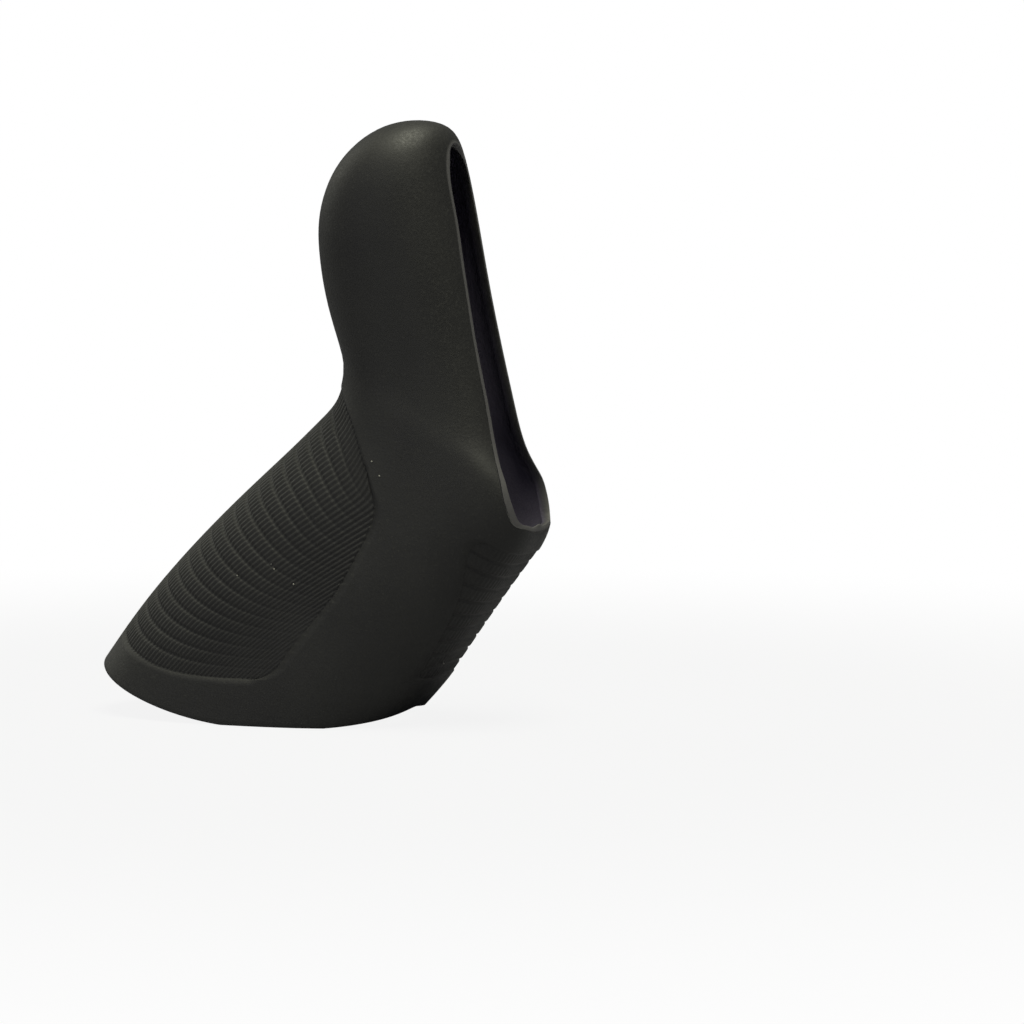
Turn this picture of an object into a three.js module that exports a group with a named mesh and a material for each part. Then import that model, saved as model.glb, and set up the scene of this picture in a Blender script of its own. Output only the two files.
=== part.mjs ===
import * as THREE from 'three';

// Rubber hood for a brake lever, one moulding. Sizes in millimetres, angles in degrees.
// +Z is up, +X points to the lever, -X to the hand. The hood is the same on both sides of y = 0.

// Sections of the sleeve, from the crown of the knob (at 0) down to the mouth (at 1).
// riding is the section's end on the line under the hand, lever its end on the lever side, both [x, z].
const sections = [
  { at: 0.00, riding: [17.2, 114.9], lever: [17.2, 114.9], halfWidth: 0.0 },
  { at: 0.06, riding: [10.6, 112.8], lever: [23.9, 113.9], halfWidth: 7.8 },
  { at: 0.12, riding: [5.0, 108.0], lever: [26.9, 108.5], halfWidth: 12.7 },
  { at: 0.20, riding: [0.8, 100.0], lever: [29.6, 95.7], halfWidth: 14.3 },
  { at: 0.30, riding: [0.1, 90.1], lever: [32.5, 80.3], halfWidth: 13.8 },
  { at: 0.40, riding: [2.1, 79.1], lever: [36.7, 61.4], halfWidth: 12.9 },
  { at: 0.46, riding: [4.2, 72.6], lever: [39.8, 51.0], halfWidth: 13.0 },
  { at: 0.50, riding: [4.8, 68.4], lever: [42.9, 45.0], halfWidth: 13.5 },
  { at: 0.54, riding: [3.3, 62.9], lever: [42.9, 37.8], halfWidth: 14.0 },
  { at: 0.58, riding: [0.1, 59.0], lever: [39.7, 32.0], halfWidth: 14.6 },
  { at: 0.66, riding: [-6.6, 52.7], lever: [35.8, 26.6], halfWidth: 15.8 },
  { at: 0.78, riding: [-19.8, 40.7], lever: [29.9, 18.4], halfWidth: 17.4 },
  { at: 0.90, riding: [-34.9, 25.0], lever: [23.7, 9.9], halfWidth: 18.2 },
  { at: 1.00, riding: [-44.8, 12.2], lever: [18.5, 4.3], halfWidth: 18.6 },
];
// how square the sections are: 2 is an ellipse, more is fuller at the corners
const fullnessAt = [0, 0.3, 0.4, 0.46, 0.5, 0.54, 0.6, 0.7, 1];
const ridingFullness = [2.0, 2.3, 2.31, 2.32, 2.34, 2.34, 2.35, 2.37, 2.5];
const leverFullness = [2.0, 2.55, 3.0, 3.6, 4.1, 3.8, 3.2, 2.9, 2.65];
// the flanks hang lower than the two ends of a section, from the waist down
const flankDrop = 6.7;
const flankDropStart = 0.5;
const flankDropLean = -0.07;

// Lever slot, as half of its outline in the plan of the skin (x to the lever side, y to one flank).
const slotOutline = [
  [0.103, 0.0], [0.137, 0.062], [0.180, 0.081], [0.222, 0.107], [0.262, 0.137],
  [0.292, 0.172], [0.318, 0.202], [0.341, 0.232], [0.352, 0.298], [0.356, 0.364],
  [0.385, 0.355], [0.434, 0.309], [0.474, 0.243], [0.520, 0.128], [0.534, 0.0],
];
const slotEndCrowding = 0.6;

// Walls
const neckWall = 1.5;
const handWall = 3.0;
const undersideWall = 1.8;
const wallChangeStart = 0.45;
const wallChangeEnd = 0.68;
const lipBevel = 0.3;
// Along the knob and the neck the slot's cut face looks at the lever; at the apex and the chin it goes
// straight through the wall. Width and forward step of the turned cut, and where it takes over.
const lipWidth = 1.0;
const lipForward = 0.2;
const lipTurnWidth = 5.0;
const lipTurnLow = 43;
const lipTurnHigh = 56;

// The rim is trimmed flat where it would hang below this height, so that the hood stands on it.
const restHeight = 1.6;

// Panels: where they begin and end along the sleeve, from the lever line (first) to the riding line (last)
const panelTop = [0.562, 0.568, 0.583, 0.543, 0.515];
const panelBottom = [0.887, 0.905, 0.937, 0.954, 0.951];
const panelRoundAt = [0, 0.3, 0.6, 0.79, 1];
const neckRing = [0.554, 0.554, 0.548, 0.52, 0.5];
const panelRecess = 0.5;
const panelStep = 0.4;
// half width of the smooth spine strip, at the panel's top and bottom
const spineStripTop = 2.3;
const spineStripBottom = 5.0;
// outer edge of a side panel and edge of the underside panel, as shares of the way round from the spine
const panelSpan = [0, 0.12, 0.25, 0.45, 0.7, 1];
const sidePanelEdge = [0.425, 0.48, 0.51, 0.54, 0.55, 0.553];
const undersideEdge = [0.755, 0.765, 0.80, 0.84, 0.865, 0.885];
const cornerRound = 0.07;
const cornerPull = 0.09;

// Relief in the panels
const grooveCount = 18;
const topBand = 1.5;
const bottomBand = 1.2;
const grooveWidth = 0.9;
const grooveDepth = 0.4;
// the grooves of a side panel get shallower from this share of its width to the outer edge
const grooveFadeStart = 0.4;
const grooveEdgeShare = 0.4;
const undersideRecess = 0.35;
const undersideGrooveDepth = 0.25;
const undersideGrooves = grooveCount / 2;

// Mesh density
const stripColumns = 1;
const sideColumns = 10;
const flankColumns = 6;
const undersideColumns = 5;
const crownRows = 22;
const neckRows = 3;
const rimRows = 4;
const innerCrownRows = 13;
const innerBodyRows = 10;

const degree = Math.PI / 180;
const mix = (a, b, t) => a + (b - a) * t;
const clamp01 = (t) => Math.min(1, Math.max(0, t));
const smooth = (t) => clamp01(t) ** 2 * (3 - 2 * clamp01(t));

// Natural cubic spline through rows of numbers.
function spline(at, rows) {
  const n = at.length;
  const size = rows[0].length;
  const bend = rows.map(() => new Array(size).fill(0));
  for (let c = 0; c < size; c += 1) {
    const upper = new Array(n).fill(0);
    const right = new Array(n).fill(0);
    for (let i = 1; i < n - 1; i += 1) {
      const before = at[i] - at[i - 1];
      const after = at[i + 1] - at[i];
      const slope = (rows[i + 1][c] - rows[i][c]) / after - (rows[i][c] - rows[i - 1][c]) / before;
      const pivot = 2 * (before + after) - before * upper[i - 1];
      upper[i] = after / pivot;
      right[i] = (6 * slope - before * right[i - 1]) / pivot;
    }
    for (let i = n - 2; i > 0; i -= 1) {
      bend[i][c] = right[i] - upper[i] * bend[i + 1][c];
    }
  }
  return (t) => {
    let i = 0;
    while (i < n - 2 && t > at[i + 1]) i += 1;
    const width = at[i + 1] - at[i];
    const b = (t - at[i]) / width;
    const a = 1 - b;
    return rows[i].map((value, c) => a * value + b * rows[i + 1][c]
      + ((a ** 3 - a) * bend[i][c] + (b ** 3 - b) * bend[i + 1][c]) * width * width / 6);
  };
}

const below = sections.slice(1);
const above = [...below].reverse();
const profile = spline(
  [...above.map((s) => -s.at), 0, ...below.map((s) => s.at)],
  [...above.map((s) => s.riding), sections[0].lever, ...below.map((s) => s.lever)],
);
const halfWidth = spline(
  [...above.map((s) => -s.at), 0, ...below.map((s) => s.at)],
  [...above.map((s) => [-s.halfWidth]), [0], ...below.map((s) => [s.halfWidth])],
);
const fullness = spline(fullnessAt, fullnessAt.map((at, i) => [ridingFullness[i], leverFullness[i]]));

// Point of the plain skin: along 0 to 1 down the sleeve, round 0 on the lever line to 180 on the riding line.
function skin(along, round) {
  const c = Math.cos(round * degree);
  const s = Math.sin(round * degree);
  const riding = profile(-along);
  const lever = profile(along);
  const width = halfWidth(along)[0];
  const toRiding = smooth((1 - c) / 2);
  const [ridingPower, leverPower] = fullness(along);
  const power = mix(leverPower, ridingPower, toRiding);
  const reach = (Math.abs(c) ** power + Math.abs(s) ** power) ** (-1 / power);
  const halfX = (lever[0] - riding[0]) / 2;
  const halfZ = (lever[1] - riding[1]) / 2;
  const length = Math.hypot(halfX, halfZ) + 1e-9;
  const hang = clamp01((along - flankDropStart) / (1 - flankDropStart)) ** 2;
  const drop = flankDrop * hang * s * s * (1 + flankDropLean * c);
  return new THREE.Vector3(
    (riding[0] + lever[0]) / 2 + halfX * c * reach + halfZ / length * drop,
    width * s * reach,
    (riding[1] + lever[1]) / 2 + halfZ * c * reach - halfX / length * drop,
  );
}

const toPlan = (along, round) => [along * Math.cos(round * degree), along * Math.sin(round * degree)];
const fromPlan = (x, y) => [Math.hypot(x, y), Math.atan2(y, x) / degree];
const planSkin = (x, y) => skin(...fromPlan(x, y));

function outward(x, y) {
  const step = 1e-3;
  const alongX = planSkin(x + step, y).sub(planSkin(x - step, y));
  const alongY = planSkin(x, y + step).sub(planSkin(x, y - step));
  return alongX.cross(alongY).normalize();
}

function wallAt(x, y) {
  const [along, round] = fromPlan(x, y);
  const share = smooth((along - wallChangeStart) / (wallChangeEnd - wallChangeStart));
  const toHand = smooth((1 - Math.cos(round * degree)) / 2);
  return mix(neckWall, mix(undersideWall, handWall, toHand), share);
}

// Value along the way round from the lever line (0) to the riding line (1).
function roundValue(values) {
  const curve = spline(panelRoundAt, values.map((value) => [value]));
  return (round) => curve((1 - Math.cos(round * degree)) / 2)[0];
}
const topAlong = roundValue(panelTop);
const bottomAlong = roundValue(panelBottom);
const neckAlong = roundValue(neckRing);

// Slot outline as one closed curve in the plan, by share of its length from the knob end.
const slotLoop = (() => {
  const half = slotOutline.slice(1, -1);
  const other = [...half].reverse().map(([x, y]) => [x, -y]);
  const loop = [slotOutline[0], ...half, slotOutline[slotOutline.length - 1], ...other];
  const padded = [...loop, ...loop, ...loop, loop[0]];
  const at = [0];
  for (let i = 1; i < padded.length; i += 1) {
    at.push(at[i - 1] + Math.hypot(padded[i][0] - padded[i - 1][0], padded[i][1] - padded[i - 1][1]));
  }
  const curve = spline(at, padded);
  const start = at[loop.length];
  const length = at[2 * loop.length] - start;
  const samples = 400;
  const points = [];
  for (let i = 0; i <= samples; i += 1) points.push(curve(start + length * i / samples / 2));
  const run = [0];
  for (let i = 1; i <= samples; i += 1) {
    run.push(run[i - 1] + planSkin(...points[i]).distanceTo(planSkin(...points[i - 1])));
  }
  return (even) => {
    const share = even - slotEndCrowding * Math.sin(2 * Math.PI * even) / (2 * Math.PI);
    const want = share * run[samples];
    let i = 1;
    while (i < samples && run[i] < want) i += 1;
    const t = (want - run[i - 1]) / (run[i] - run[i - 1]);
    return [mix(points[i - 1][0], points[i][0], t), mix(points[i - 1][1], points[i][1], t)];
  };
})();

// Share of the panel's length that has been passed, measured along the riding or the lever line.
function lineShares(round) {
  const samples = 300;
  const run = [0];
  const at = (i) => mix(topAlong(round), bottomAlong(round), i / samples);
  for (let i = 1; i <= samples; i += 1) {
    run.push(run[i - 1] + skin(at(i), round).distanceTo(skin(at(i - 1), round)));
  }
  const length = run[samples];
  const shareAt = (want) => {
    if (want <= 0) return 0;
    let i = 1;
    while (i < samples && run[i] < want * length) i += 1;
    return (i - 1 + (want * length - run[i - 1]) / (run[i] - run[i - 1])) / samples;
  };
  return { length, shareAt };
}
const ridingLine = lineShares(180);
const leverLine = lineShares(0);

// Rows of the panels: the top edge, the band above the grooves, three rows to a groove, the bottom edge.
const groovePitch = ridingLine.length / (topBand + grooveCount - 1 + bottomBand);
const undersidePitch = leverLine.length / (undersideGrooves + 1);
const sideStops = [0, topBand * groovePitch / 2];
const undersideStops = [0, undersidePitch / 2];
const grooveRow = [null, null];
for (let groove = 0; groove < grooveCount; groove += 1) {
  const centre = (topBand + groove) * groovePitch;
  const under = (groove / 2 + 1) * undersidePitch;
  const cutsUnderside = groove % 2 === 0;
  for (const side of [-1, 0, 1]) {
    sideStops.push(centre + side * grooveWidth / 2);
    undersideStops.push(under + side * (cutsUnderside ? grooveWidth / 2 : undersidePitch / 5));
    grooveRow.push(side === 0 ? { side: true, underside: cutsUnderside } : null);
  }
}
sideStops.push(ridingLine.length);
undersideStops.push(leverLine.length);
grooveRow.push(null);
const panelRows = sideStops.length - 1;
const sideShare = sideStops.map((stop) => ridingLine.shareAt(stop / ridingLine.length));
const undersideShare = undersideStops.map((stop) => leverLine.shareAt(stop / leverLine.length));
const undersideWeight = (round) => smooth((Math.cos(round * degree) - 0.2) / 0.45);

// Height of the lowest trimmed rim, found by stepping back from the mouth.
function mouthAlong(round) {
  let low = 0.9;
  let high = 1;
  if (skin(high, round).z >= restHeight) return high;
  for (let i = 0; i < 40; i += 1) {
    const middle = (low + high) / 2;
    if (skin(middle, round).z > restHeight) low = middle;
    else high = middle;
  }
  return (low + high) / 2;
}

const isTrimmed = ([x, y]) => {
  const [along, round] = fromPlan(x, y);
  return along > 0.9 && along < 1 - 1e-6 && mouthAlong(round) < 1;
};

// One ring of the body: along(round) gives its path, columns are set by their distance from the spine.
const halfColumns = stripColumns + 1 + sideColumns + 1 + flankColumns + 1 + undersideColumns;
const columns = 2 * halfColumns;

function ringRounds(along, share, even) {
  const samples = 240;
  const run = [0];
  let previous = skin(along(180), 180);
  for (let i = 1; i <= samples; i += 1) {
    const round = 180 - 180 * i / samples;
    const point = skin(along(round), round);
    run.push(run[i - 1] + point.distanceTo(previous));
    previous = point;
  }
  const length = run[samples];
  const corner = Math.max(clamp01(1 - share / cornerRound), clamp01(1 - (1 - share) / cornerRound));
  const pull = cornerPull * (1 - Math.sqrt(1 - corner * corner));
  const edgeOf = (values) => spline(panelSpan, values.map((value) => [value]))(clamp01(share))[0];
  const spine = mix(spineStripTop, spineStripBottom, clamp01(share)) + pull * 15;
  const side = (edgeOf(sidePanelEdge) - pull * 0.6) * length;
  const under = (edgeOf(undersideEdge) + pull * 0.6) * length;
  const stops = [0];
  const stretch = (from, to, count) => {
    for (let i = 1; i <= count; i += 1) stops.push(mix(from, to, i / count));
  };
  const half = panelStep / 2;
  stretch(0, spine - half, stripColumns);
  stretch(spine - half, spine + half, 1);
  stretch(spine + half, side - half, sideColumns);
  stretch(side - half, side + half, 1);
  stretch(side + half, under - half, flankColumns);
  stretch(under - half, under + half, 1);
  stretch(under + half, length, undersideColumns);
  return stops.map((stop, column) => {
    const want = mix(stop, length * column / halfColumns, even);
    let i = 1;
    while (i < samples && run[i] < want) i += 1;
    const t = (want - run[i - 1]) / (run[i] - run[i - 1]);
    return 180 - 180 * (i - 1 + t) / samples;
  });
}

// A ring of the body as plan points on one half, with the relief of each.
function bodyRing(row, even) {
  let along;
  let share;
  if (row < 0) {
    along = (round) => mix(topAlong(round), neckAlong(round), -row / neckRows);
    share = 0;
  } else if (row > panelRows) {
    along = (round) => mix(bottomAlong(round), mouthAlong(round), (row - panelRows) / rimRows);
    share = 1;
  } else {
    along = (round) => {
      const passed = mix(sideShare[row], undersideShare[row], undersideWeight(round));
      return mix(topAlong(round), bottomAlong(round), passed);
    };
    share = sideStops[row] / ridingLine.length;
  }
  const rounds = ringRounds(along, share, even);
  const inSide = (column) => column > stripColumns && column <= stripColumns + 1 + sideColumns;
  const inUnderside = (column) => column > stripColumns + 2 + sideColumns + flankColumns;
  const inPanelRow = row > 0 && row < panelRows;
  return rounds.map((round, column) => {
    let relief = 0;
    const cut = grooveRow[row];
    if (inPanelRow && inSide(column)) {
      const across = (column - stripColumns - 1) / sideColumns;
      const fade = mix(1, grooveEdgeShare, smooth((across - grooveFadeStart) / (1 - grooveFadeStart)));
      relief = -panelRecess - (cut && cut.side ? grooveDepth * fade : 0);
    } else if (inPanelRow && inUnderside(column)) {
      relief = -undersideRecess - (cut && cut.underside ? undersideGrooveDepth : 0);
    }
    return { plan: toPlan(along(round), round), relief };
  });
}

// Rings from the slot's edge over the knob to the neck ring, straight in the plan.
const neck = bodyRing(-neckRows, 1);
function crownRing(share) {
  return neck.map(({ plan }, column) => {
    const [x, y] = slotLoop(column / halfColumns);
    return { plan: [mix(x, plan[0], share), mix(y, plan[1], share)], relief: 0 };
  });
}

// All the way round: the half from the spine to the lever line, then its mirror image back.
function fullRing(half, place) {
  const points = half.map(({ plan, relief }, column) => place(plan, relief, column));
  const mirrored = points.slice(1, -1).reverse().map((p) => new THREE.Vector3(p.x, -p.y, p.z));
  points[0].y = 0;
  points[points.length - 1].y = 0;
  return [...points, ...mirrored];
}

function outerPoint([x, y], relief) {
  return planSkin(x, y).addScaledVector(outward(x, y), relief);
}
function innerPoint([x, y]) {
  return planSkin(x, y).addScaledVector(outward(x, y), -wallAt(x, y));
}

// Inner edge of the slot's cut face at a place on its outer edge.
function slotInner(plan) {
  const outer = outerPoint(plan, 0);
  const upper = smooth((outer.z - lipTurnLow) / (lipTurnHigh - lipTurnLow));
  const turned = smooth(Math.abs(outer.y) / lipTurnWidth) * upper;
  const toMiddle = new THREE.Vector3(outer.x + lipForward, outer.y - Math.sign(outer.y) * lipWidth, outer.z);
  return innerPoint(plan).lerp(toMiddle, turned);
}

// Bevelled edge between the outer and the inner skin, in four rings from the outside in.
// outerBack and innerBack are the next rings back from the edge on the two skins.
function edgeRings(edge, outerBack, innerBack, innerEdge) {
  const place = (ring) => (plan, relief, column) => {
    const outer = outerPoint(plan, 0);
    const inner = innerEdge(plan);
    const back = ring < 2 ? outerPoint(outerBack[column].plan, 0).sub(outer) : innerPoint(innerBack[column].plan).sub(inner);
    const across = inner.clone().sub(outer).setLength(lipBevel);
    if (ring === 0) return outer.add(back.setLength(lipBevel));
    if (ring === 3) return inner.add(back.setLength(lipBevel));
    const lip = ring === 1 ? outer.add(across) : inner.sub(across);
    if (isTrimmed(plan)) lip.z = restHeight;
    return lip;
  };
  return [0, 1, 2, 3].map((ring) => fullRing(edge, place(ring)));
}

const rings = [];
const crownShare = (i, count) => {
  const t = i / count;
  return mix(t, t * t, 0.35);
};
const slotEdge = crownRing(0);
const slotRings = edgeRings(slotEdge, crownRing(0.02), crownRing(crownShare(1, innerCrownRows)), slotInner);
const mouthEdge = bodyRing(panelRows + rimRows, 1);
const aboveMouth = bodyRing(panelRows + rimRows - 1, 1);
const mouthRings = edgeRings(mouthEdge, aboveMouth, aboveMouth, innerPoint);
const evenness = (row) => smooth(Math.max(-row / neckRows, (row - panelRows) / rimRows));

rings.push(slotRings[0]);
for (let i = 1; i < crownRows; i += 1) {
  rings.push(fullRing(crownRing(crownShare(i, crownRows)), outerPoint));
}
for (let row = -neckRows; row < panelRows + rimRows; row += 1) {
  rings.push(fullRing(bodyRing(row, evenness(row)), outerPoint));
}
rings.push(...mouthRings);
for (let i = innerBodyRows - 1; i >= 0; i -= 1) {
  const row = Math.round(mix(-neckRows, panelRows + rimRows, i / innerBodyRows));
  rings.push(fullRing(bodyRing(row, evenness(row)), innerPoint));
}
for (let i = innerCrownRows - 1; i > 0; i -= 1) {
  rings.push(fullRing(crownRing(crownShare(i, innerCrownRows)), innerPoint));
}
rings.push(slotRings[3], slotRings[2], slotRings[1]);

// Skin between neighbouring rings, split along the shorter diagonal.
const positions = rings.flat().flatMap((p) => [p.x, p.y, p.z]);
const faces = [];
rings.forEach((ring, r) => {
  const next = (r + 1) % rings.length;
  ring.forEach((point, c) => {
    const d = (c + 1) % columns;
    const here = r * columns + c;
    const side = r * columns + d;
    const down = next * columns + c;
    const across = next * columns + d;
    if (point.distanceTo(rings[next][d]) < ring[d].distanceTo(rings[next][c])) {
      faces.push(here, side, across, here, across, down);
    } else {
      faces.push(here, side, down, side, across, down);
    }
  });
});

const shell = new THREE.BufferGeometry();
shell.setAttribute('position', new THREE.Float32BufferAttribute(positions, 3));
shell.setIndex(faces);
shell.computeVertexNormals();
shell.computeBoundingBox();
shell.translate(
  -(shell.boundingBox.min.x + shell.boundingBox.max.x) / 2,
  0,
  -shell.boundingBox.min.z,
);

const blackRubber = new THREE.MeshStandardMaterial({ color: 0x23231f, roughness: 0.62, metalness: 0 });
const hood = new THREE.Mesh(shell, blackRubber);
hood.name = 'hood';

const group = new THREE.Group();
group.name = 'brake_lever_hood';
group.add(hood);

export default group;
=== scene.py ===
import math

import bpy
import numpy as np
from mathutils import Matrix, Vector


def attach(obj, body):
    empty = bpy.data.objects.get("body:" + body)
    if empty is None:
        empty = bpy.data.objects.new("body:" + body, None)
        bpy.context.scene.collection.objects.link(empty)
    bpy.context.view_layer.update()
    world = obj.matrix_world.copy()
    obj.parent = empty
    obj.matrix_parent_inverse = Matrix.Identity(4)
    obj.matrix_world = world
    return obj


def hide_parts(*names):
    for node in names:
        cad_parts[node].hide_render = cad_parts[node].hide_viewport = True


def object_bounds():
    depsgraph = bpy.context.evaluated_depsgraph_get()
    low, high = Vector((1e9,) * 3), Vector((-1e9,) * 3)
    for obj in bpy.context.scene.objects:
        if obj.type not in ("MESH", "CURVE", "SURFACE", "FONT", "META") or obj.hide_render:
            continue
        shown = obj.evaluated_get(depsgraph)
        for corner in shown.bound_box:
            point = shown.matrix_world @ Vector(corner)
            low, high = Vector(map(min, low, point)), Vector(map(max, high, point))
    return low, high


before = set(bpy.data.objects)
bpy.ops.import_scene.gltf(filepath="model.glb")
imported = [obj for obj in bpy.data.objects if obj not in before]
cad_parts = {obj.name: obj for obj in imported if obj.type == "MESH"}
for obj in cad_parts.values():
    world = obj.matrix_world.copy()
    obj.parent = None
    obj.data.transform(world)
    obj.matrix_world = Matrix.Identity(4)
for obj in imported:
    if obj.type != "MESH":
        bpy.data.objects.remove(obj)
cadLow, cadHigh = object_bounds()

mm = 0.001
tiny = 1e-9


# Camera. It stands in front and a little to the lever side, almost level with the hood.
cameraSettings = {
    "aim": Vector((0, 0, 0.053)),      # point of the hood that the picture's size is read at
    "aimPixel": (322.2, 440.2),        # where that point lies in the 1024 x 1024 picture
    "azimuth": 22.7,
    "elevation": 2.75,
    "distance": 0.6,
    "pixelsPerMetre": 5230,
    "picture": 1024,
    "sensor": 36.0,
    "clip": (0.05, 20),
}


def makeCamera(settings):
    azimuth = math.radians(settings["azimuth"])
    elevation = math.radians(settings["elevation"])
    back = Vector((
        math.sin(azimuth) * math.cos(elevation),
        -math.cos(azimuth) * math.cos(elevation),
        math.sin(elevation),
    ))
    right = Vector((math.cos(azimuth), math.sin(azimuth), 0))
    up = back.cross(right)
    focal = settings["pixelsPerMetre"] * settings["distance"]
    offX = settings["picture"] / 2 - settings["aimPixel"][0]
    offY = settings["picture"] / 2 - settings["aimPixel"][1]
    ahead = (-back * focal + right * offX - up * offY).normalized()
    turn = (-back).rotation_difference(ahead)          # least turn, so the picture doesn't roll
    straight = (-back).to_track_quat("-Z", "Y")
    data = bpy.data.cameras.new("studioCamera")
    data.sensor_width = settings["sensor"]
    data.lens = focal / settings["picture"] * settings["sensor"]
    data.clip_start, data.clip_end = settings["clip"]
    camera = bpy.data.objects.new("studioCamera", data)
    camera.rotation_mode = "QUATERNION"
    camera.location = settings["aim"] + back * settings["distance"]
    camera.rotation_quaternion = turn @ straight
    bpy.context.scene.collection.objects.link(camera)
    bpy.context.scene.camera = camera


makeCamera(cameraSettings)
print("camera placed")


# Sleeve, in millimetres. Sections run from the crown of the knob (at 0) down to the mouth (at 1);
# riding is a section's end on the line under the hand, lever its end on the lever side, both (x, z).
sleeve = {
    "sections": [
        # at, riding, lever, half width
        (0.00, (17.2, 114.9), (17.2, 114.9), 0.0),
        (0.06, (10.6, 112.8), (23.9, 113.9), 7.8),
        (0.12, (5.0, 108.0), (26.9, 108.5), 12.7),
        (0.20, (0.8, 100.0), (29.6, 95.7), 14.3),
        (0.30, (0.1, 90.1), (32.5, 80.3), 13.8),
        (0.40, (2.1, 79.1), (36.7, 61.4), 12.9),
        (0.46, (4.2, 72.6), (39.8, 51.0), 13.0),
        (0.50, (4.8, 68.4), (42.9, 45.0), 13.5),
        (0.54, (3.3, 62.9), (42.9, 37.8), 14.0),
        (0.58, (0.1, 59.0), (39.7, 32.0), 14.6),
        (0.66, (-6.6, 52.7), (35.8, 26.6), 15.8),
        (0.78, (-19.8, 40.7), (29.9, 18.4), 17.4),
        (0.90, (-34.9, 25.0), (23.7, 9.9), 18.2),
        (1.00, (-44.8, 12.2), (18.5, 4.3), 18.6),
    ],
    "fullnessAt": (0, 0.3, 0.4, 0.46, 0.5, 0.54, 0.6, 0.7, 1),
    # 2 is an ellipse, more is squarer
    "ridingFullness": (2.0, 2.3, 2.31, 2.32, 2.34, 2.34, 2.35, 2.37, 2.5),
    "leverFullness": (2.0, 2.55, 3.0, 3.6, 4.1, 3.8, 3.2, 2.9, 2.65),
    "flankDrop": 6.7,                  # how far the mouth hangs lower at the flanks
    "flankDropStart": 0.5,
    "flankDropLean": -0.07,
    "neckWall": 1.5,
    "handWall": 3.0,
    "undersideWall": 1.8,
    "wallChange": (0.45, 0.68),
    "restHeight": 1.6,                 # the rim is trimmed level here
    "trimFrom": 0.9,                   # no section above this one is trimmed
    "trimHalvings": 40,
    "lipRound": 0.3,
    "normalStep": 1e-3,                # in the plan
}


def smooth(t):
    t = np.clip(t, 0, 1)
    return t * t * (3 - 2 * t)


def mix(a, b, t):
    return a + (b - a) * t


def naturalSpline(at, rows):
    at = np.array(at, float)
    rows = np.array(rows, float).reshape(len(at), -1)
    gap = np.diff(at)
    slope = np.diff(rows, axis=0) / gap[:, None]
    system = np.diag(np.concatenate(([1.0], 2 * (gap[:-1] + gap[1:]), [1.0])))
    for i in range(1, len(at) - 1):
        system[i, i - 1] = gap[i - 1]
        system[i, i + 1] = gap[i]
    right = np.zeros_like(rows)
    right[1:-1] = 6 * np.diff(slope, axis=0)
    bend = np.linalg.solve(system, right)

    def curve(t):
        t = np.asarray(t, float)
        i = np.clip(np.searchsorted(at, t) - 1, 0, len(at) - 2)
        b = ((t - at[i]) / gap[i])[..., None]
        a = 1 - b
        bow = (a ** 3 - a) * bend[i] + (b ** 3 - b) * bend[i + 1]
        return a * rows[i] + b * rows[i + 1] + bow * (gap[i] ** 2)[..., None] / 6
    return curve


below = sleeve["sections"][1:]
crown = sleeve["sections"][0]
lineAt = [-s[0] for s in below[::-1]] + [0] + [s[0] for s in below]
profile = naturalSpline(lineAt, [s[1] for s in below[::-1]] + [crown[2]] + [s[2] for s in below])
halfWidth = naturalSpline(lineAt, [-s[3] for s in below[::-1]] + [0] + [s[3] for s in below])
powersAt = naturalSpline(sleeve["fullnessAt"], list(zip(sleeve["ridingFullness"], sleeve["leverFullness"])))


# Point of the plain skin: along goes from 0 to 1 down the sleeve,
# around from 0 on the lever line to 180 on the riding line.
def skin(along, around):
    along, around = np.broadcast_arrays(np.asarray(along, float), np.asarray(around, float))
    c = np.cos(np.radians(around))
    s = np.sin(np.radians(around))
    riding = profile(-along)
    lever = profile(along)
    width = halfWidth(along)[..., 0]
    powers = powersAt(along)
    power = mix(powers[..., 1], powers[..., 0], smooth((1 - c) / 2))
    reach = (np.abs(c) ** power + np.abs(s) ** power) ** (-1 / power)
    half = (lever - riding) / 2
    length = np.hypot(half[..., 0], half[..., 1]) + tiny
    start = sleeve["flankDropStart"]
    hang = np.clip((along - start) / (1 - start), 0, 1) ** 2
    drop = sleeve["flankDrop"] * hang * s * s * (1 + sleeve["flankDropLean"] * c)
    middle = (riding + lever) / 2
    return np.stack([
        middle[..., 0] + half[..., 0] * c * reach + half[..., 1] / length * drop,
        width * s * reach,
        middle[..., 1] + half[..., 1] * c * reach - half[..., 0] / length * drop,
    ], -1)


# The plan is the skin unrolled on a disc: its middle is the crown and its rim the mouth.
def toPlan(along, around):
    return np.stack([along * np.cos(np.radians(around)), along * np.sin(np.radians(around))], -1)


def fromPlan(plan):
    return np.hypot(plan[..., 0], plan[..., 1]), np.degrees(np.arctan2(plan[..., 1], plan[..., 0]))


def planSkin(plan):
    return skin(*fromPlan(plan))


def outward(plan):
    step = sleeve["normalStep"]
    alongX = planSkin(plan + (step, 0)) - planSkin(plan - (step, 0))
    alongY = planSkin(plan + (0, step)) - planSkin(plan - (0, step))
    normal = np.cross(alongX, alongY)
    return normal / np.linalg.norm(normal, axis=-1, keepdims=True)


def wallAt(plan):
    along, around = fromPlan(plan)
    start, end = sleeve["wallChange"]
    toHand = smooth((1 - np.cos(np.radians(around))) / 2)
    thick = mix(sleeve["undersideWall"], sleeve["handWall"], toHand)
    return mix(sleeve["neckWall"], thick, smooth((along - start) / (end - start)))


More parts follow.
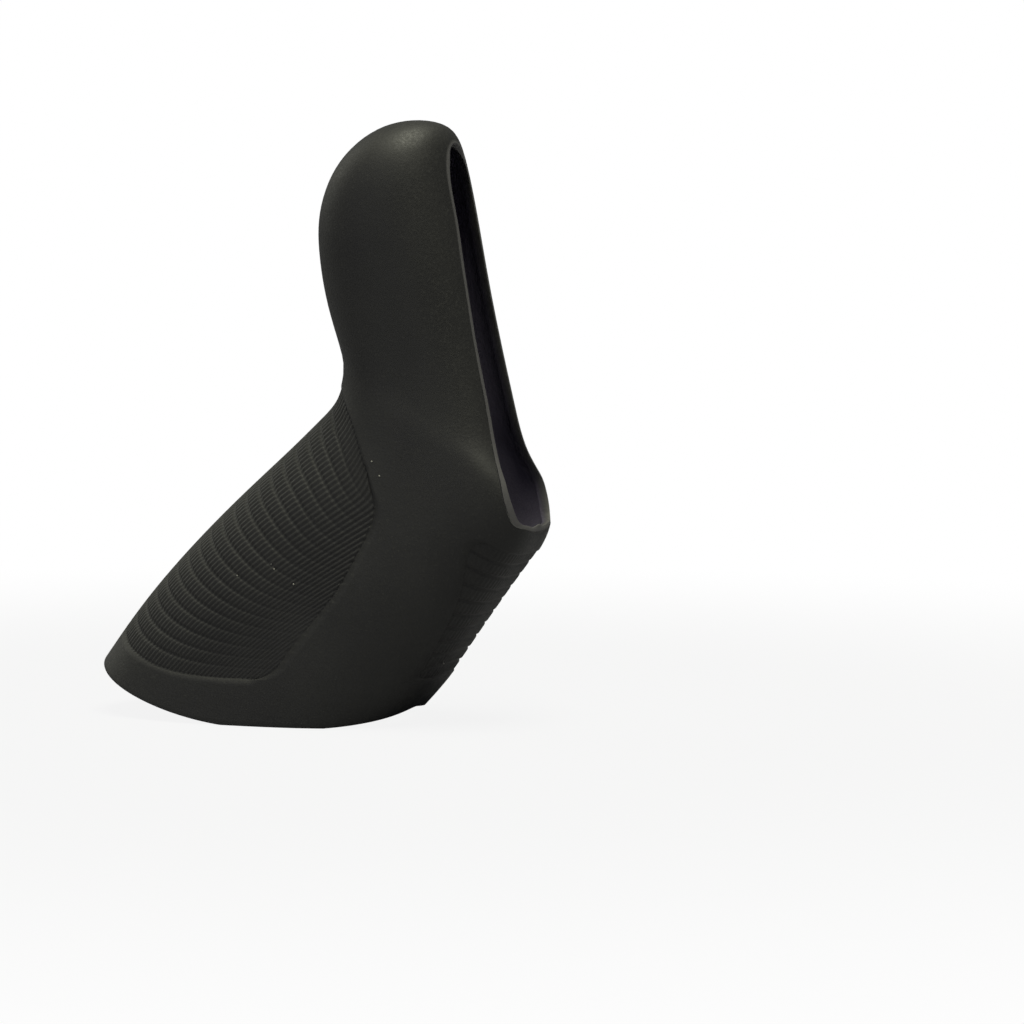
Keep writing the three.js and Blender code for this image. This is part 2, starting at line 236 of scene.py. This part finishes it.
# Grip panels. The lists top, bottom and neckRing go from the lever line to the riding line, at the
# places in roundAt, and say how far down the sleeve the panels start and end.
panels = {
    "roundAt": (0, 0.3, 0.6, 0.79, 1),
    "top": (0.562, 0.568, 0.583, 0.543, 0.515),
    "bottom": (0.887, 0.905, 0.937, 0.954, 0.951),
    "neckRing": (0.554, 0.554, 0.548, 0.52, 0.5),
    "recess": 0.5,
    "step": 0.35,                      # width of the step down into a panel
    "spineStrip": (2.3, 5.0),          # half width at the top and at the bottom
    # edges of the side and underside panels as shares of the ring, at the places in spanAt
    "spanAt": (0, 0.12, 0.25, 0.45, 0.7, 1),
    "sideEdge": (0.425, 0.48, 0.51, 0.54, 0.55, 0.553),
    "undersideEdge": (0.755, 0.765, 0.80, 0.84, 0.865, 0.885),
    "undersideSpan": (0.2, 0.65),      # cosines between which rows turn from side to underside
    "cornerRound": 0.07,
    "cornerPull": 0.09,                # how far the edges draw in at the corners,
    "spinePull": 15,                   # times this in millimetres at the spine strip,
    "edgePull": 0.6,                   # and times this in shares of the ring at the other edges
    "grooves": 18,
    "topBand": 1.5,                    # bands without grooves, in steps from groove to groove
    "bottomBand": 1.2,
    "grooveWidth": 0.7,
    "grooveDepth": 0.18,
    "grooveFade": (0.25, 0.1),         # shallower from this share of the width, down to this depth
    "grooveCut": 0.6,                  # share of a rib's height that a groove takes away
    "ribPitch": 1.03,
    "ribHeight": 0.30,
    "ribEnd": 0.45,
    "ribFan": (0.35, 0.75),            # ribs draw together by this much from this place down
    "ribFadeTo": 0.25,                 # ribs are lower towards the flank, lower down the panel
    "ribFadeAcross": (0.55, 0.45),     # start and length, as shares of the panel's width
    "ribFadeDown": (0.35, 0.4),        # start and length, as shares of the panel's height
    "undersideRibHeight": 0.1,
    "undersideRecess": 0.35,
    "undersideGrooveDepth": 0.25,
}

# Density of the mesh, and the samples that its curves are measured with
mesh = {
    "ribColumns": 4,
    "ribMargin": 0.3,                  # of a column, kept free at a panel's edges
    "tileRows": (0.08, 0.22, 0.5, 0.78, 0.92),
    "tileLeast": 1.2,                  # two rows this far apart, in millimetres, get more between them
    "keyRun": 0.9,                     # keys of a smooth part go up by this much
    "keyStep": 0.01,                   # keys of a ribbed part go up by this much for each millimetre
    "betweenRows": 6,                  # rows on a ridge of the underside lie this part of a ridge apart
    "stripColumns": 5,
    "flankColumns": 14,
    "plainColumns": 84,
    "crownRows": 46,
    "neckRows": 7,
    "rimRows": 8,
    "innerColumns": 44,
    "innerCrownRows": 16,
    "innerBodyRows": 16,
    "crownCrowding": 0.35,
    "lipSteps": 3,
    "lipBack": 0.02,                   # how far behind the slot's edge the skin's direction is read
    "loopSamples": 401,
    "lineSamples": 301,
    "ringSamples": 721,
}


# Distance run along a line of points, from its first to each of them.
def runAlong(points):
    return np.concatenate(([0], np.cumsum(np.linalg.norm(np.diff(points, axis=0), axis=1))))


def roundValue(values):
    curve = naturalSpline(panels["roundAt"], values)
    return lambda around: curve((1 - np.cos(np.radians(around))) / 2)[..., 0]


topAlong = roundValue(panels["top"])
bottomAlong = roundValue(panels["bottom"])
neckAlong = roundValue(panels["neckRing"])
sideEdgeAt = naturalSpline(panels["spanAt"], panels["sideEdge"])
undersideEdgeAt = naturalSpline(panels["spanAt"], panels["undersideEdge"])


# How far the sleeve goes down before it is trimmed level for the rim to stand on.
def mouthAlong(around):
    low = np.full(np.shape(around), sleeve["trimFrom"])
    high = np.ones(np.shape(around))
    hangs = skin(high, around)[..., 2] < sleeve["restHeight"]
    for _ in range(sleeve["trimHalvings"]):
        middle = (low + high) / 2
        above = skin(middle, around)[..., 2] > sleeve["restHeight"]
        low = np.where(above, middle, low)
        high = np.where(above, high, middle)
    return np.where(hangs, (low + high) / 2, 1.0)


# Lever slot: half of its outline in the plan.
slot = {
    "outline": [
        (0.103, 0.0), (0.137, 0.062), (0.180, 0.081), (0.222, 0.107), (0.262, 0.137),
        (0.292, 0.172), (0.318, 0.202), (0.341, 0.232), (0.352, 0.298), (0.356, 0.364),
        (0.385, 0.355), (0.434, 0.309), (0.474, 0.243), (0.520, 0.128), (0.536, 0.0),
    ],
    "endCrowding": 0.6,                # points lie closer together at the slot's ends
    # width of the cut face on the neck, at the chin's corner and at the bottom, and their heights
    "lipWidth": (1.0, 1.5, 1.4),
    "lipWidthAt": (56, 46, 40),
    "lipTilt": 0.25,                   # how far it slants inwards, as a share of its width
    "apexWidth": 5.0,                  # round the apex, the cut goes straight through the wall
    "apexEnd": (70, 90),
}


def makeSlotLoop():
    half = slot["outline"][1:-1]
    loop = [slot["outline"][0]] + half + [slot["outline"][-1]] + [(x, -y) for x, y in half[::-1]]
    padded = np.array(loop * 3 + loop[:1])
    at = runAlong(padded)
    start = at[len(loop)]
    length = at[2 * len(loop)] - start
    points = naturalSpline(at, padded)(start + length * np.linspace(0, 0.5, mesh["loopSamples"]))
    run = runAlong(planSkin(points))

    def place(even):
        share = even - slot["endCrowding"] * np.sin(2 * np.pi * even) / (2 * np.pi)
        want = share * run[-1]
        return np.stack([np.interp(want, run, points[:, k]) for k in (0, 1)], -1)
    return place


slotLoop = makeSlotLoop()


# Length of a line down the panels, and the share of its plan passed after so many millimetres.
def lineShares(around):
    share = np.linspace(0, 1, mesh["lineSamples"])
    run = runAlong(skin(mix(topAlong(around), bottomAlong(around), share), around))
    return run[-1], lambda stop: np.interp(stop, run, share)


ridingLength, ridingShare = lineShares(180.0)
leverLength, leverShare = lineShares(0.0)
groovePitch = ridingLength / (panels["topBand"] + panels["grooves"] - 1 + panels["bottomBand"])
undersideGrooves = panels["grooves"] // 2
undersidePitch = leverLength / (undersideGrooves + 1)
sideCentres = [(panels["topBand"] + groove) * groovePitch for groove in range(panels["grooves"])]
undersideCentres = [(groove + 1) * undersidePitch for groove in range(undersideGrooves)]


# Every row of the panels: its distance down the riding line and down the lever line.
def panelStops():
    half = panels["grooveWidth"] / 2
    marks = [(0, 0), (panels["step"], panels["step"])]
    for groove, centre in enumerate(sideCentres):
        under = (groove / 2 + 1) * undersidePitch
        underHalf = half if groove % 2 == 0 else undersidePitch / mesh["betweenRows"]
        marks += [(centre + k * half, under + k * underHalf) for k in (-1, 0, 1)]
    marks.append((ridingLength - panels["step"], leverLength - panels["step"]))
    marks.append((ridingLength, leverLength))
    stops = marks[:1]
    for before, after in zip(marks, marks[1:]):
        if after[0] - before[0] > mesh["tileLeast"]:
            for t in mesh["tileRows"]:
                stops.append((mix(before[0], after[0], t), mix(before[1], after[1], t)))
        stops.append(after)
    return stops


# Rounded rise of a rib from its end: 0 at the end, 1 once it is a rib's end away.
def endRise(distance):
    t = np.clip(distance / panels["ribEnd"], 0, 1)
    return np.sqrt(1 - (1 - t) ** 2)


# How deep the groove is at a stop, and how far that stop is from the nearest groove or panel end.
def grooveAt(stop, centres, length, deepest):
    half = panels["grooveWidth"] / 2
    nearest = np.min(np.abs(np.array(centres) - stop))
    depth = deepest * np.clip(1 - (nearest / half) ** 2, 0, 1)
    free = min(nearest - half, stop - panels["step"], length - panels["step"] - stop)
    return depth, max(free, 0)


# How much a place belongs to the underside: 0 on the side panel, 1 on the lever line.
def undersideWeight(around):
    start, end = panels["undersideSpan"]
    return smooth((np.cos(np.radians(around)) - start) / (end - start))


# Turns distances from the riding line into places on the ring that "along" gives.
def walkRing(along):
    around = np.linspace(180, 0, mesh["ringSamples"])
    run = runAlong(skin(along(around), around))
    return run[-1], lambda stops: np.interp(stops, run, around)


# A row of the mesh: its points in the plan, their height over the plain skin and their share
# of the way round. Rows of the panels also have keys, which say what part a point is on:
# 0 spine strip, 1 side panel, 2 flank, 3 underside panel, with the place on that part added.
def makeRow(plan, relief, even, key=None):
    return {"plan": plan, "relief": relief, "even": even, "key": key}


# Height of the ribs across them, from a rib's own coordinate counted from the middle line.
def ribAcross(r):
    u = np.abs((r / panels["ribPitch"]) % 1 - 0.5) * 2      # 0 on the rib, 1 between two ribs
    return np.sqrt(np.clip(1 - u ** 2, 0, 1))


# Columns of the ribs between two edges: a rib's own coordinate, and the distance on the ring.
def ribColumns(low, high, scale):
    step = panels["ribPitch"] / mesh["ribColumns"]
    margin = mesh["ribMargin"] * step
    r = np.arange(1, int(high / (step * scale)) + 1) * step
    s = r * scale
    keep = (s > low + margin) & (s < high - margin)
    return r[keep], s[keep]


# Edges of the spine strip, the side panel and the underside panel, with their rounded corners.
def edgesAt(share, length):
    near = max(1 - share / panels["cornerRound"], 1 - (1 - share) / panels["cornerRound"], 0)
    pull = panels["cornerPull"] * (1 - math.sqrt(1 - near * near))
    spine = mix(*panels["spineStrip"], share) + pull * panels["spinePull"]
    side = (sideEdgeAt(share)[0] - pull * panels["edgePull"]) * length
    under = (undersideEdgeAt(share)[0] + pull * panels["edgePull"]) * length
    return spine, side, under


# Share of a rib's height that is left: ribs get lower towards the flank, lower down the panel.
def ribFade(s, side, share):
    acrossFrom, acrossLength = panels["ribFadeAcross"]
    downFrom, downLength = panels["ribFadeDown"]
    across = smooth((s - acrossFrom * side) / (acrossLength * side))
    return mix(1, panels["ribFadeTo"], across * smooth((share - downFrom) / downLength))


# The parts of a panel's row are lists of (distances on the ring, heights, keys).
def plainPart(low, high, columns, key):
    t = np.linspace(0, 1, columns + 1)
    return [(mix(low, high, t), 0, key + t * mesh["keyRun"])]


def sidePart(spine, side, scale, sideStop, inPanel):
    half = panels["step"] / 2
    depth, free = grooveAt(sideStop, sideCentres, ridingLength, panels["grooveDepth"])
    r, s = ribColumns(spine + half, side - half, scale)
    fadeFrom, edgeShare = panels["grooveFade"]
    across = (s - spine) / (side - spine)
    shallow = mix(1, edgeShare, smooth((across - fadeFrom) / (1 - fadeFrom)))
    ends = mix(1, endRise(free), panels["grooveCut"] * shallow)
    fade = ribFade(s, side, sideStop / ridingLength)
    rib = panels["ribHeight"] * ribAcross(r) * ends * fade
    return [
        (spine + half, (-panels["recess"] - depth) * inPanel, 1),
        (s, (-panels["recess"] - depth * shallow + rib) * inPanel, 1 + r * mesh["keyStep"]),
        (side - half, (-panels["recess"] - depth * edgeShare) * inPanel, 2 - mesh["keyStep"]),
    ]


def undersidePart(under, length, underStop, inPanel):
    half = panels["step"] / 2
    depth, free = grooveAt(underStop, undersideCentres, leverLength, panels["undersideGrooveDepth"])
    sunk = (-panels["undersideRecess"] - depth) * inPanel
    r, s = ribColumns(0, length - under - half, 1)
    rib = panels["undersideRibHeight"] * ribAcross(r) * endRise(free) * inPanel
    return [
        (under + half, sunk, 3),
        (length - s[::-1], sunk + rib[::-1], 4 - r[::-1] * mesh["keyStep"]),
        (length, sunk, 4),
    ]


def panelRow(sideStop, underStop):
    down = ridingShare(sideStop)
    underDown = leverShare(underStop)

    def along(around):
        return mix(topAlong(around), bottomAlong(around), mix(down, underDown, undersideWeight(around)))
    length, place = walkRing(along)
    share = sideStop / ridingLength
    spine, side, under = edgesAt(share, length)
    half = panels["step"] / 2
    fan, fanFrom = panels["ribFan"]
    scale = 1 + fan * (fanFrom - float(along(180.0)))
    inPanel = 0 < share < 1
    parts = plainPart(0, spine - half, mesh["stripColumns"], 0)
    parts += sidePart(spine, side, scale, sideStop, inPanel)
    parts += plainPart(side + half, under - half, mesh["flankColumns"], 2)
    parts += undersidePart(under, length, underStop, inPanel)
    stops = np.concatenate([np.atleast_1d(s) for s, _, _ in parts])
    relief = np.concatenate([np.broadcast_to(height, np.atleast_1d(s).shape) for s, height, _ in parts])
    key = np.concatenate([np.broadcast_to(k, np.atleast_1d(s).shape) for s, _, k in parts])
    around = place(stops)
    return makeRow(toPlan(along(around), around), relief, stops / length, key)


# Row without panels. The rows below go from the slot's edge over the neck ring to the panels' top,
# and from the panels' bottom to the mouth; bodyRow is for the inside, which has no panels.
def plainRow(along, columns):
    length, place = walkRing(along)
    even = np.linspace(0, 1, columns + 1)
    around = place(even * length)
    return makeRow(toPlan(along(around), around), np.zeros(columns + 1), even)


def neckRow(t, columns):
    return plainRow(lambda around: mix(topAlong(around), neckAlong(around), t), columns)


def rimRow(t, columns):
    return plainRow(lambda around: mix(bottomAlong(around), mouthAlong(around), t), columns)


def bodyRow(t, columns):
    return plainRow(lambda around: mix(topAlong(around), mouthAlong(around), t), columns)


def crownRow(t, columns):
    neck = neckRow(1, columns)
    even = np.linspace(0, 1, columns + 1)
    return makeRow(mix(slotLoop(even), neck["plan"], t), np.zeros(columns + 1), even)


def crownShare(t):
    return mix(t, t * t, mesh["crownCrowding"])


def outerPoints(row):
    return planSkin(row["plan"]) + outward(row["plan"]) * row["relief"][:, None]


def innerPoints(row):
    return planSkin(row["plan"]) - outward(row["plan"]) * wallAt(row["plan"])[:, None]


def unit(vectors):
    return vectors / np.linalg.norm(vectors, axis=1, keepdims=True)


# Inner edge of the slot's cut face, which looks at the lever; back is the next row away from the slot.
def slotInner(row, back):
    outer = planSkin(row["plan"])
    height = outer[:, 2]
    width = np.interp(-height, [-h for h in slot["lipWidthAt"]], slot["lipWidth"])[:, None]
    into = unit(outer - planSkin(back["plan"]))
    turned = outer + into * width - outward(row["plan"]) * slot["lipTilt"] * width
    low, high = slot["apexEnd"]
    belowApex = smooth((high - height) / (high - low))
    share = np.maximum(smooth(np.abs(outer[:, 1]) / slot["apexWidth"]), belowApex)[:, None]
    return mix(innerPoints(row), turned, share)


# Rounded lip between the outer and the inner skin, as rows from the outside in.
def lipRows(edge, inner, outerBack, innerBack, level=None):
    outer = planSkin(edge["plan"])
    across = unit(inner - outer)
    outerPull = unit(planSkin(outerBack["plan"]) - outer)
    innerPull = unit(innerPoints(innerBack) - inner)
    r = sleeve["lipRound"]
    turns = np.linspace(0, np.pi / 2, mesh["lipSteps"] + 1)
    curve = [(r * (1 - math.sin(a)), r * (1 - math.cos(a))) for a in turns]
    rows = [outer + outerPull * back + across * down for back, down in curve]
    rows += [inner + innerPull * back - across * down for back, down in curve[::-1]]
    if level is not None:
        trimmed = mouthAlong(fromPlan(edge["plan"])[1]) < 1 - tiny
        flat = (mesh["lipSteps"], mesh["lipSteps"] + 1)
        for i, points in enumerate(rows):
            if i in flat:
                points[trimmed, 2] = level
            else:
                points[trimmed, 2] = np.maximum(points[trimmed, 2], level)
    return rows


# Triangles between two neighbouring rows, which may have different numbers of points.
def zipRows(a, b, keyA, keyB, startA, startB, faces):
    i = j = 0
    while i < len(keyA) - 1 or j < len(keyB) - 1:
        stepA = i < len(keyA) - 1 and (j == len(keyB) - 1 or keyA[i + 1] <= keyB[j + 1] + tiny)
        if stepA and j < len(keyB) - 1 and abs(keyA[i + 1] - keyB[j + 1]) < tiny:
            stepA = np.linalg.norm(a[i] - b[j + 1]) >= np.linalg.norm(a[i + 1] - b[j])
        if stepA:
            faces.append((startA + i, startB + j, startA + i + 1))
            i += 1
        else:
            faces.append((startA + i, startB + j, startB + j + 1))
            j += 1


# Rows of half the sleeve from the slot's edge down the outside, round the mouth's lip and back
# up the inside. Each is its points, shares of the way round, keys and what the row is.
def buildHalf():
    rows = []

    def add(row, points, kind):
        rows.append((points, row["even"], row["key"], kind))

    columns = mesh["plainColumns"]
    edge = crownRow(0, columns)
    insideStart = crownShare(1 / mesh["innerCrownRows"])
    back = crownRow(mesh["lipBack"], columns)
    slotLip = lipRows(edge, slotInner(edge, back), back, crownRow(insideStart, columns))
    add(edge, slotLip[0], "slotLip")
    for i in range(1, mesh["crownRows"]):
        row = crownRow(crownShare(i / mesh["crownRows"]), columns)
        add(row, outerPoints(row), "crown")
    for i in range(mesh["neckRows"], 0, -1):
        row = neckRow(i / mesh["neckRows"], columns)
        add(row, outerPoints(row), "neck")
    for sideStop, underStop in panelStops():
        row = panelRow(sideStop, underStop)
        add(row, outerPoints(row), "panel")
    for i in range(1, mesh["rimRows"]):
        row = rimRow(i / mesh["rimRows"], columns)
        add(row, outerPoints(row), "rim")
    edge = rimRow(1, columns)
    back = rimRow(1 - 1 / mesh["rimRows"], columns)
    mouthLip = lipRows(edge, innerPoints(edge), back, back, sleeve["restHeight"])
    for points in mouthLip:
        add(edge, points, "mouthLip")
    columns = mesh["innerColumns"]
    for i in range(mesh["innerBodyRows"] - 1, 0, -1):
        row = bodyRow(i / mesh["innerBodyRows"], columns)
        add(row, innerPoints(row), "inside")
    for i in range(mesh["innerCrownRows"], 0, -1):
        row = crownRow(crownShare(i / mesh["innerCrownRows"]), columns)
        add(row, innerPoints(row), "inside")
    edge = crownRow(0, mesh["plainColumns"])
    for points in slotLip[:0:-1]:
        add(edge, points, "slotLip")
    return rows


# Both halves as one closed mesh: the last row meets the first, and the seam's points are shared.
def joinHalves(rows):
    faces = []
    starts = np.concatenate(([0], np.cumsum([len(r[0]) for r in rows])))[:-1]
    for n in range(len(rows)):
        m = (n + 1) % len(rows)
        a, evenA, keyA, _ = rows[n]
        b, evenB, keyB, _ = rows[m]
        if keyA is None or keyB is None:
            keyA, keyB = evenA, evenB
        zipRows(a, b, keyA, keyB, starts[n], starts[m], faces)
    points = np.concatenate([r[0] for r in rows])
    count = len(points)
    onSeam = np.zeros(count, bool)
    for start, row in zip(starts, rows):
        onSeam[[start, start + len(row[0]) - 1]] = True
    points[onSeam, 1] = 0
    twin = np.arange(count)
    twin[~onSeam] = count + np.arange(np.count_nonzero(~onSeam))
    mirrored = points[~onSeam] * (1, -1, 1)
    faces = np.array(faces)
    allFaces = np.concatenate([faces, twin[faces][:, ::-1]])
    kinds = np.concatenate([[r[3]] * len(r[0]) for r in rows])
    return np.concatenate([points, mirrored]), allFaces, np.concatenate([kinds, kinds[~onSeam]])


points, faces, kinds = joinHalves(buildHalf())
low, high = points.min(0), points.max(0)
middle = (cadLow.x + cadHigh.x) / 2 / mm
offset = np.array([middle - (low[0] + high[0]) / 2, 0, cadLow.z / mm - low[2]])
points += offset
print("sleeve:", len(points), "points,", len(faces), "triangles")


# Dust: a few pale specks, mostly on the near flank
dust = {
    "radius": 0.2,
    "places": [
        # place in the plan, how deep the skin is sunk there
        ((-0.176, -0.534), 0.0),
        ((-0.112, -0.560), 0.0),
        ((-0.268, -0.729), 0.4),
        ((-0.239, -0.743), 0.4),
        ((-0.386, -0.713), 0.4),
        ((-0.099, -0.778), 0.2),
        ((0.806, -0.252), 0.0),
    ],
}


def addDust(settings, points, faces, kinds):
    corners = np.concatenate([np.eye(3), -np.eye(3)]) * settings["radius"]
    sides = np.array([
        (0, 1, 2), (1, 3, 2), (3, 4, 2), (4, 0, 2),
        (1, 0, 5), (3, 1, 5), (4, 3, 5), (0, 4, 5),
    ])
    for place, sunk in settings["places"]:
        plan = np.array([place])
        centre = planSkin(plan)[0] - outward(plan)[0] * sunk + offset
        faces = np.concatenate([faces, sides + len(points)])
        points = np.concatenate([points, corners + centre])
        kinds = np.concatenate([kinds, ["dust"] * len(corners)])
    return points, faces, kinds


points, faces, kinds = addDust(dust, points, faces, kinds)
print("dust:", len(dust["places"]), "specks")


# Rubber
rubber = {
    "colour": (0.0092, 0.0092, 0.0088, 1),
    "dusty": (0.0150, 0.0150, 0.0138, 1),
    "speckle": (0.028, 0.028, 0.025, 1),
    # painted highlight: the slot's lip is lighter so that it reads as a lit edge
    "paintedLipHighlight": (0.080, 0.078, 0.078, 1),
    # painted light: the inner skin is lighter and bluish in place of fill light reaching into the slot
    "inside": (0.10, 0.09, 0.13, 1),
    "dust": (0.30, 0.29, 0.26, 1),
    "roughness": (0.50, 0.68),
    "cloudSize": 14,                   # millimetres
    "creaseSize": 1.6,
    "grainSize": 0.5,
    "grainHeight": 0.045,
    "cloudSpan": (0.35, 0.7),          # values of the noise between which the colour changes
    "speckleSpan": (0.55, 0.8),
    "roughnessSpan": (0.3, 0.7),
    "specular": 0.45,
}


def makeRubber(settings):
    material = bpy.data.materials.new("blackRubber")
    material.use_nodes = True
    nodes = material.node_tree.nodes
    links = material.node_tree.links
    shader = nodes["Principled BSDF"]
    place = nodes.new("ShaderNodeTexCoord")

    def noise(size, detail, rough=0.5):
        node = nodes.new("ShaderNodeTexNoise")
        node.inputs["Scale"].default_value = 1 / (size * mm)
        node.inputs["Detail"].default_value = detail
        node.inputs["Roughness"].default_value = rough
        links.new(place.outputs["Object"], node.inputs["Vector"])
        return node.outputs["Fac"]

    def colourMix(factor, a, b):
        node = nodes.new("ShaderNodeMix")
        node.data_type = "RGBA"
        links.new(factor, node.inputs["Factor"])
        for socket, value in ((node.inputs["A"], a), (node.inputs["B"], b)):
            if isinstance(value, tuple):
                socket.default_value = value
            else:
                links.new(value, socket)
        return node.outputs["Result"]

    def span(value, low, high, outLow=0.0, outHigh=1.0):
        node = nodes.new("ShaderNodeMapRange")
        node.inputs["From Min"].default_value = low
        node.inputs["From Max"].default_value = high
        node.inputs["To Min"].default_value = outLow
        node.inputs["To Max"].default_value = outHigh
        links.new(value, node.inputs["Value"])
        return node.outputs["Result"]

    def mask(name):
        node = nodes.new("ShaderNodeAttribute")
        node.attribute_name = name
        return node.outputs["Fac"]

    cloud = noise(settings["cloudSize"], detail=4)
    fine = noise(settings["grainSize"], detail=3, rough=0.65)
    crease = noise(settings["creaseSize"], detail=4, rough=0.6)
    base = colourMix(span(cloud, *settings["cloudSpan"]), settings["colour"], settings["dusty"])
    base = colourMix(span(fine, *settings["speckleSpan"]), base, settings["speckle"])
    # Painted light on the inner skin: a lighter, bluish colour in place of fill light reaching inside.
    base = colourMix(mask("inside"), base, settings["inside"])
    # Painted highlight on the slot's lip, in place of its edge catching the light.
    base = colourMix(mask("slotLip"), base, settings["paintedLipHighlight"])
    base = colourMix(mask("dust"), base, settings["dust"])
    links.new(base, shader.inputs["Base Color"])
    rough = span(fine, *settings["roughnessSpan"], *settings["roughness"])
    links.new(rough, shader.inputs["Roughness"])
    both = nodes.new("ShaderNodeMath")
    both.operation = "ADD"
    links.new(fine, both.inputs[0])
    links.new(crease, both.inputs[1])
    bump = nodes.new("ShaderNodeBump")
    bump.inputs["Distance"].default_value = settings["grainHeight"] * mm
    links.new(both.outputs[0], bump.inputs["Height"])
    links.new(bump.outputs["Normal"], shader.inputs["Normal"])
    shader.inputs["Specular IOR Level"].default_value = settings["specular"]
    return material


def makeHood(points, faces, kinds):
    data = bpy.data.meshes.new("hoodSkin")
    data.from_pydata((points * mm).tolist(), [], faces.tolist())
    data.polygons.foreach_set("use_smooth", [True] * len(data.polygons))
    for kind in ("slotLip", "inside", "dust"):
        mask = data.attributes.new(kind, "FLOAT", "POINT")
        mask.data.foreach_set("value", (kinds == kind).astype(np.float32))
    data.update()
    hood = bpy.data.objects.new("hoodSkin", data)
    bpy.context.scene.collection.objects.link(hood)
    hood.data.materials.append(makeRubber(rubber))
    return hood


hood = makeHood(points, faces, kinds)
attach(hood, "root")
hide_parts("hood")
print("hood made")


# Studio: pale floor, white surround and soft lamps.
studio = {
    "floorSize": 12.0,
    "floorColour": (0.26, 0.26, 0.29, 1),
    "floorRoughness": 0.9,
    "floorSpecular": 0.1,
    "floorWhite": (0.88, 1.0),         # how white the camera sees the floor, near the hood and far off
    "whiteFrom": (0.10, 0.35),         # metres from the hood's middle for these two
    "surround": 0.15,
    "surroundColour": (0.94, 0.94, 1.0, 1),
    "topLamp": {"place": (0.20, -0.20, 1.30), "size": 0.7, "power": 21.0, "colour": (1.0, 1.0, 0.82)},
    "frontLamp": {"place": (-0.6, -1.4, 0.5), "size": 1.2, "power": 3.2, "colour": (0.98, 0.98, 1.0)},
    "backLamp": {"place": (-1.3, 0.3, 0.8), "size": 0.9, "power": 4.0, "colour": (1.0, 1.0, 0.86)},
}


# Share of a surface's own white that the camera sees; strength is a number or a socket.
def cameraShare(nodes, links, strength):
    path = nodes.new("ShaderNodeLightPath")
    both = nodes.new("ShaderNodeMath")
    both.operation = "MAXIMUM"
    links.new(path.outputs["Is Camera Ray"], both.inputs[0])
    links.new(path.outputs["Is Transmission Ray"], both.inputs[1])
    scaled = nodes.new("ShaderNodeMath")
    scaled.operation = "MULTIPLY"
    links.new(both.outputs[0], scaled.inputs[0])
    if isinstance(strength, float):
        scaled.inputs[1].default_value = strength
    else:
        links.new(strength, scaled.inputs[1])
    return scaled.outputs[0]


def makeFloor(settings):
    half = settings["floorSize"] / 2
    data = bpy.data.meshes.new("studioFloor")
    corners = [(-half, -half, 0), (half, -half, 0), (half, half, 0), (-half, half, 0)]
    data.from_pydata(corners, [], [(0, 1, 2, 3)])
    floor = bpy.data.objects.new("studioFloor", data)
    bpy.context.scene.collection.objects.link(floor)
    material = bpy.data.materials.new("paleFloor")
    material.use_nodes = True
    nodes = material.node_tree.nodes
    links = material.node_tree.links
    shader = nodes["Principled BSDF"]
    shader.inputs["Base Color"].default_value = settings["floorColour"]
    shader.inputs["Roughness"].default_value = settings["floorRoughness"]
    shader.inputs["Specular IOR Level"].default_value = settings["floorSpecular"]
    glow = nodes.new("ShaderNodeEmission")
    place = nodes.new("ShaderNodeTexCoord")
    away = nodes.new("ShaderNodeVectorMath")
    away.operation = "LENGTH"
    links.new(place.outputs["Object"], away.inputs[0])
    white = nodes.new("ShaderNodeMapRange")
    white.interpolation_type = "SMOOTHSTEP"
    white.inputs["From Min"].default_value, white.inputs["From Max"].default_value = settings["whiteFrom"]
    white.inputs["To Min"].default_value, white.inputs["To Max"].default_value = settings["floorWhite"]
    links.new(away.outputs["Value"], white.inputs["Value"])
    blend = nodes.new("ShaderNodeMixShader")
    links.new(cameraShare(nodes, links, white.outputs["Result"]), blend.inputs["Fac"])
    links.new(shader.outputs["BSDF"], blend.inputs[1])
    links.new(glow.outputs["Emission"], blend.inputs[2])
    links.new(blend.outputs["Shader"], nodes["Material Output"].inputs["Surface"])
    data.materials.append(material)


def makeWorld(settings):
    world = bpy.data.worlds.new("studioWorld")
    bpy.context.scene.world = world
    world.use_nodes = True
    nodes = world.node_tree.nodes
    links = world.node_tree.links
    surround = nodes["Background"]
    surround.inputs["Color"].default_value = settings["surroundColour"]
    surround.inputs["Strength"].default_value = settings["surround"]
    white = nodes.new("ShaderNodeBackground")
    white.inputs["Color"].default_value = (1, 1, 1, 1)
    blend = nodes.new("ShaderNodeMixShader")
    links.new(cameraShare(nodes, links, 1.0), blend.inputs["Fac"])
    links.new(surround.outputs["Background"], blend.inputs[1])
    links.new(white.outputs["Background"], blend.inputs[2])
    links.new(blend.outputs["Shader"], nodes["World Output"].inputs["Surface"])


def makeLamp(name, settings):
    data = bpy.data.lights.new(name, "AREA")
    data.shape = "SQUARE"
    data.size = settings["size"]
    data.energy = settings["power"]
    data.color = settings["colour"]
    lamp = bpy.data.objects.new(name, data)
    lamp.location = settings["place"]
    aim = cameraSettings["aim"] - lamp.location
    lamp.rotation_euler = aim.to_track_quat("-Z", "Y").to_euler()
    bpy.context.scene.collection.objects.link(lamp)


makeFloor(studio)
makeWorld(studio)
for name in ("topLamp", "frontLamp", "backLamp"):
    makeLamp(name, studio[name])
bpy.context.scene.view_settings.view_transform = "Standard"
print("studio lit")
